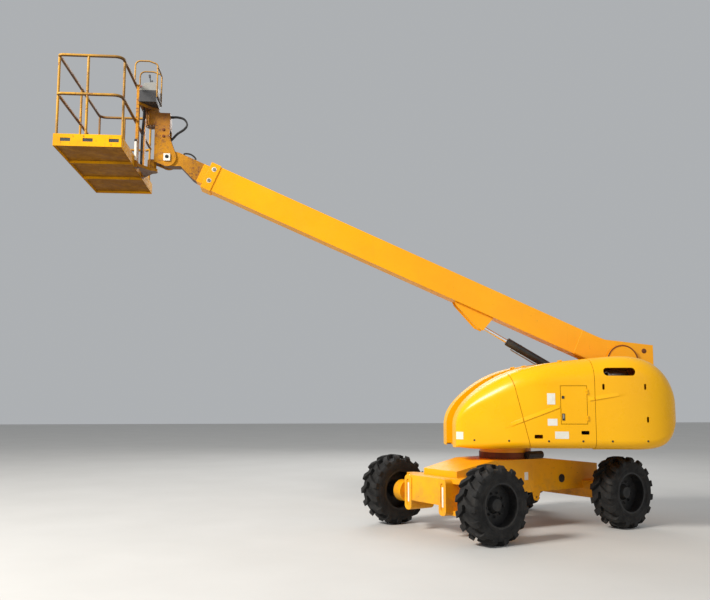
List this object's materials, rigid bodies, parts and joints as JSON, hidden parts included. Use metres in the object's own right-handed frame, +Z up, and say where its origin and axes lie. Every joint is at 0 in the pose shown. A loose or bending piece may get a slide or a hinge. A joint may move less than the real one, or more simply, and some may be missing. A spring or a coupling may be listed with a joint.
{
  "type": "telescopic boom lift",
  "caption": "Self-propelled telescopic boom lift with a slewing turret, rear counterweight, sliding boom and railed work platform.",
  "frame": {"origin": "centre of the overall box on the ground", "axes": "+X along the boom towards the platform, +Z up; the chassis points 28 degrees left of +X"},
  "size_m": [7.955, 3.496, 6.17],
  "materials": {
    "yellow_paint": "yellow enamel, worn at edges",
    "chassis_paint": "yellow enamel, dusty",
    "black_paint": "black satin enamel",
    "tyre_rubber": "dusty black rubber",
    "machined_steel": "bare steel",
    "rod_chrome": "polished chrome",
    "cast_weight": "yellow painted casting",
    "engine_grey": "cast alloy",
    "grey_plastic": "moulded plastic",
    "pad_plastic": "bare nylon",
    "exhaust_steel": "aluminised steel",
    "basket_paint": "worn yellow enamel with rust",
    "hose_rubber": "black hose rubber",
    "cowl_shell": "bright yellow enamel"
  },
  "bodies": {
    "chassis": {"chassis_frame": "chassis_paint", "slew_ring": "machined_steel", "slew_motor": "black_paint", "front_axle": "chassis_paint", "rear_axle": "chassis_paint", "steering_cylinder": "black_paint"},
    "steering_rod_body": {"steering_rod": "rod_chrome"},
    "knuckle_left_body": {"knuckle_left": "chassis_paint"},
    "knuckle_right_body": {"knuckle_right": "chassis_paint"},
    "wheel_front_left": {"tyre_front_left": "tyre_rubber", "rim_front_left": "black_paint"},
    "wheel_front_right": {"tyre_front_right": "tyre_rubber", "rim_front_right": "black_paint"},
    "wheel_rear_left": {"tyre_rear_left": "tyre_rubber", "rim_rear_left": "black_paint"},
    "wheel_rear_right": {"tyre_rear_right": "tyre_rubber", "rim_rear_right": "black_paint"},
    "turret": {"turret_frame": "yellow_paint", "counterweight": "cast_weight", "engine_block": "engine_grey", "oil_tank": "grey_plastic", "ground_console": "grey_plastic", "exhaust": "exhaust_steel", "cowl_nose_left": "cowl_shell", "cowl_nose_right": "cowl_shell", "cowl_tail_left": "cowl_shell", "cowl_tail_right": "cowl_shell"},
    "hood_left_body": {"hood_left": "cowl_shell"},
    "hood_right_body": {"hood_right": "cowl_shell"},
    "control_door_body": {"control_door": "cowl_shell"},
    "boom": {"boom_outer": "yellow_paint", "boom_collar": "yellow_paint", "slide_pads": "pad_plastic"},
    "fly": {"boom_fly": "yellow_paint", "boom_neck": "yellow_paint"},
    "yoke": {"platform_yoke": "yellow_paint", "platform_rotator": "black_paint", "platform_hoses": "hose_rubber"},
    "platform": {"platform_support": "yellow_paint", "platform_floor": "basket_paint", "platform_rails": "basket_paint", "platform_posts": "basket_paint", "control_console": "grey_plastic"},
    "cylinder_barrel": {"lift_barrel": "black_paint"},
    "cylinder_rod": {"lift_rod": "rod_chrome"}
  },
  "joints": [
    {"name": "spin_front_left", "type": "hinge", "parent": "knuckle_left_body", "child": "wheel_front_left", "pos_m": [-1.26119, 1.39988, 0.46], "axis": [-0.4704, 0.8825, 0], "continuous": true},
    {"name": "spin_front_right", "type": "hinge", "parent": "knuckle_right_body", "child": "wheel_front_right", "pos_m": [-0.34298, -0.32267, 0.46], "axis": [-0.4704, 0.8825, 0], "continuous": true},
    {"name": "spin_rear_left", "type": "hinge", "parent": "chassis", "child": "wheel_rear_left", "pos_m": [-3.28202, 0.32267, 0.46], "axis": [-0.4704, 0.8825, 0], "continuous": true},
    {"name": "spin_rear_right", "type": "hinge", "parent": "chassis", "child": "wheel_rear_right", "pos_m": [-2.36381, -1.39988, 0.46], "axis": [-0.4704, 0.8825, 0], "continuous": true},
    {"name": "steer_left", "type": "hinge", "parent": "chassis", "child": "knuckle_left_body", "pos_m": [-1.06081, 1.02395, 0.46], "axis": [0, 0, 1], "range_deg": [-30, 30]},
    {"name": "steer_right", "type": "hinge", "parent": "chassis", "child": "knuckle_right_body", "pos_m": [-0.54337, 0.05325, 0.46], "axis": [0, 0, 1], "range_deg": [-30, 30]},
    {"name": "steering_slide", "type": "slide", "parent": "chassis", "child": "steering_rod_body", "axis": [-0.4704, 0.8825, 0], "range_m": [-0.143, 0.143]},
    {"name": "slew", "type": "hinge", "parent": "chassis", "child": "turret", "pos_m": [-1.8125, 0, 0.975], "axis": [0, 0, 1], "range_deg": [-151.94, 208.06]},
    {"name": "hood_left_hinge", "type": "hinge", "parent": "turret", "child": "hood_left_body", "pos_m": [-2.0125, 0.262, 2.109], "axis": [0.9888, 0, -0.1495], "range_deg": [0, 60]},
    {"name": "hood_right_hinge", "type": "hinge", "parent": "turret", "child": "hood_right_body", "pos_m": [-2.0125, -0.262, 2.109], "axis": [-0.9888, 0, 0.1495], "range_deg": [0, 60]},
    {"name": "control_door_hinge", "type": "hinge", "parent": "hood_left_body", "child": "control_door_body", "pos_m": [-2.6155, 0.957, 1.6], "axis": [0, 0, 1], "range_deg": [0, 100]},
    {"name": "boom_lift", "type": "hinge", "parent": "turret", "child": "boom", "pos_m": [-3.4325, 0, 2.19], "axis": [0, -1, 0], "range_deg": [-38.65, 42.35]},
    {"name": "telescope", "type": "slide", "parent": "boom", "child": "fly", "axis": [0.916, 0, 0.4011], "range_m": [0, 4.3]},
    {"name": "platform_level", "type": "hinge", "parent": "fly", "child": "yoke", "pos_m": [2.7744, 0, 4.90818], "axis": [0, -1, 0], "range_deg": [-43, 39.3]},
    {"name": "platform_turn", "type": "hinge", "parent": "yoke", "child": "platform", "pos_m": [2.9875, 0, 5.4], "axis": [0, 0, 1], "range_deg": [-80, 80]},
    {"name": "lift_swing", "type": "hinge", "parent": "turret", "child": "cylinder_barrel", "pos_m": [-3.36468, 0, 1.59439], "axis": [0, -1, 0], "range_deg": [-34.6, 37.9]},
    {"name": "lift_extend", "type": "slide", "parent": "cylinder_barrel", "child": "cylinder_rod", "axis": [0.866, 0, 0.5], "range_m": [-0.338, 0.37]}
  ],
  "couplings": [
    {"joint": "steer_right", "follows": "steer_left", "ratio": 1},
    {"joint": "steering_slide", "follows": "steer_left", "m_per_rad": -0.27},
    {"joint": "platform_level", "follows": "boom_lift", "ratio": -1},
    {"joint": "lift_swing", "follows": "boom_lift", "ratio": 0.893},
    {"joint": "lift_extend", "follows": "boom_lift", "m_per_rad": 0.5}
  ]
}
